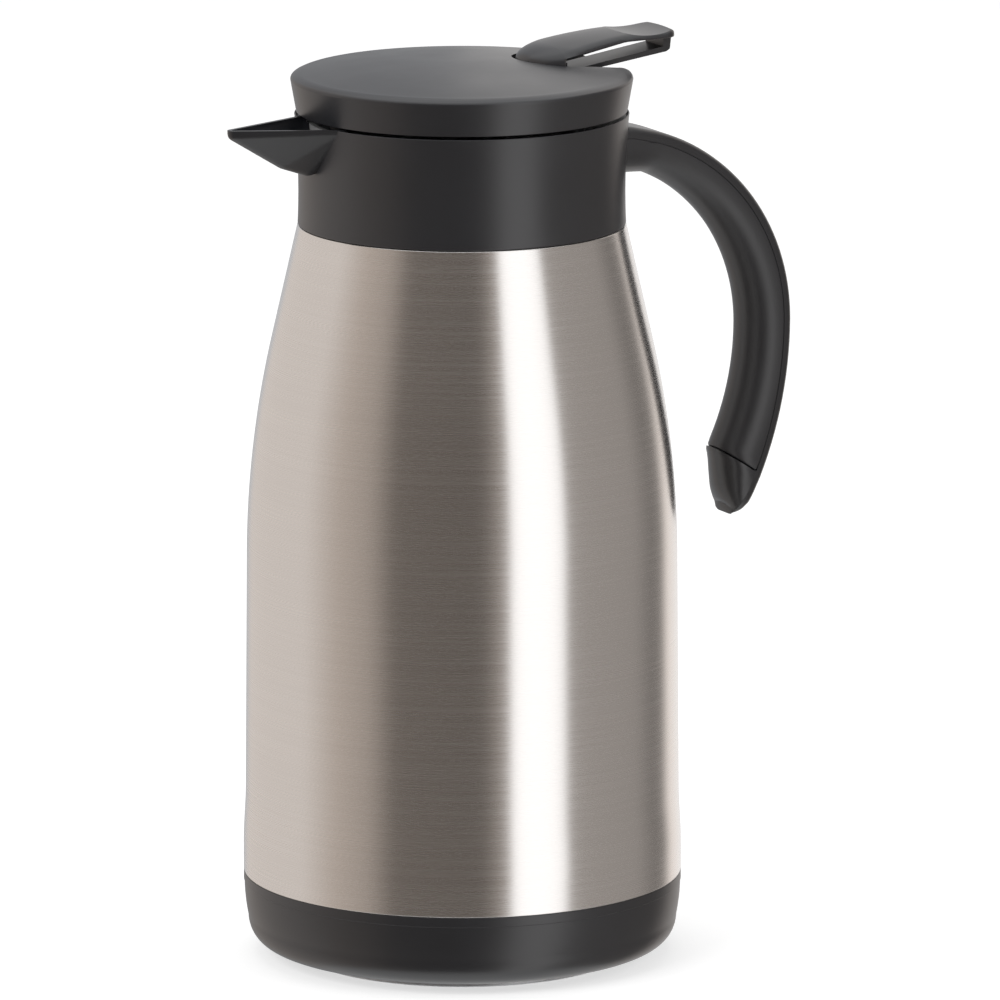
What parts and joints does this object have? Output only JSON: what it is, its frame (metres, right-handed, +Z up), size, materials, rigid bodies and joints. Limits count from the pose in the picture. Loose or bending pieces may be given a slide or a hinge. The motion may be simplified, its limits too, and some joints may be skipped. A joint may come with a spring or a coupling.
{
  "type": "thermal carafe",
  "caption": "Double-walled steel carafe with base cup, spouted collar, open C handle and a lift-off stopper lid whose thumb lever lifts a sprung valve to pour.",
  "frame": {"origin": "on the axis of the body, in the plane of the foot pad's underside", "axes": "+Z up along the body's axis, +X towards the handle, the spout points to -X"},
  "size_m": [0.1812, 0.13, 0.2735],
  "materials": {
    "black_plastic": "satin moulded",
    "grip_plastic": "satin moulded, slightly softer",
    "inner_plastic": "plain moulded",
    "brushed_shell": "brushed round the axis",
    "steel_sheet": "drawn sheet",
    "plain_steel": "bright",
    "getter_metal": "sintered",
    "pad": "matt",
    "silicone": "smooth"
  },
  "bodies": {
    "pot": {"outer_shell": "brushed_shell", "shell_bottom": "steel_sheet", "seal_disc": "steel_sheet", "getter_clip": "steel_sheet", "getter_pellet": "getter_metal", "shell_neck": "steel_sheet", "inner_liner": "steel_sheet", "liner_floor": "steel_sheet", "base_cup": "black_plastic", "foot_pad": "pad", "collar": "black_plastic", "collar_seal": "silicone", "neck_nut": "black_plastic", "handle_spine": "black_plastic", "handle_grip": "grip_plastic", "handle_screws": "plain_steel"},
    "seal": {"plug_ring": "silicone"},
    "lid": {"lid_cap": "black_plastic", "plug": "black_plastic", "plug_plate": "black_plastic", "drip_seal": "silicone", "lid_screws": "plain_steel", "lever_pin": "plain_steel", "valve_spring": "plain_steel"},
    "lever": {"lever": "black_plastic", "rocker_arm": "inner_plastic", "arm_screw": "plain_steel"},
    "valve": {"valve_stem": "plain_steel", "stem_head": "plain_steel", "valve_disc": "inner_plastic", "valve_seal": "silicone", "disc_clip": "plain_steel"}
  },
  "joints": [
    {"name": "lid_lift", "type": "slide", "parent": "pot", "child": "seal", "axis": [0, 0, 1], "range_m": [0, 0.06]},
    {"name": "lid_turn", "type": "hinge", "parent": "seal", "child": "lid", "pos_m": [0, 0, 0.235], "axis": [0, 0, 1], "continuous": true},
    {"name": "lever_press", "type": "hinge", "parent": "lid", "child": "lever", "pos_m": [0.028, 0, 0.259], "axis": [0, 1, 0], "range_deg": [0, 8]},
    {"name": "valve_lift", "type": "slide", "parent": "lid", "child": "valve", "axis": [0, 0, 1], "range_m": [0, 0.0039], "stiffness_N_per_m": 60, "springref_m": -0.004, "deforming": ["valve_spring"]}
  ],
  "couplings": [
    {"joint": "lever_press", "follows": "valve_lift", "rad_per_m": 35.714}
  ]
}
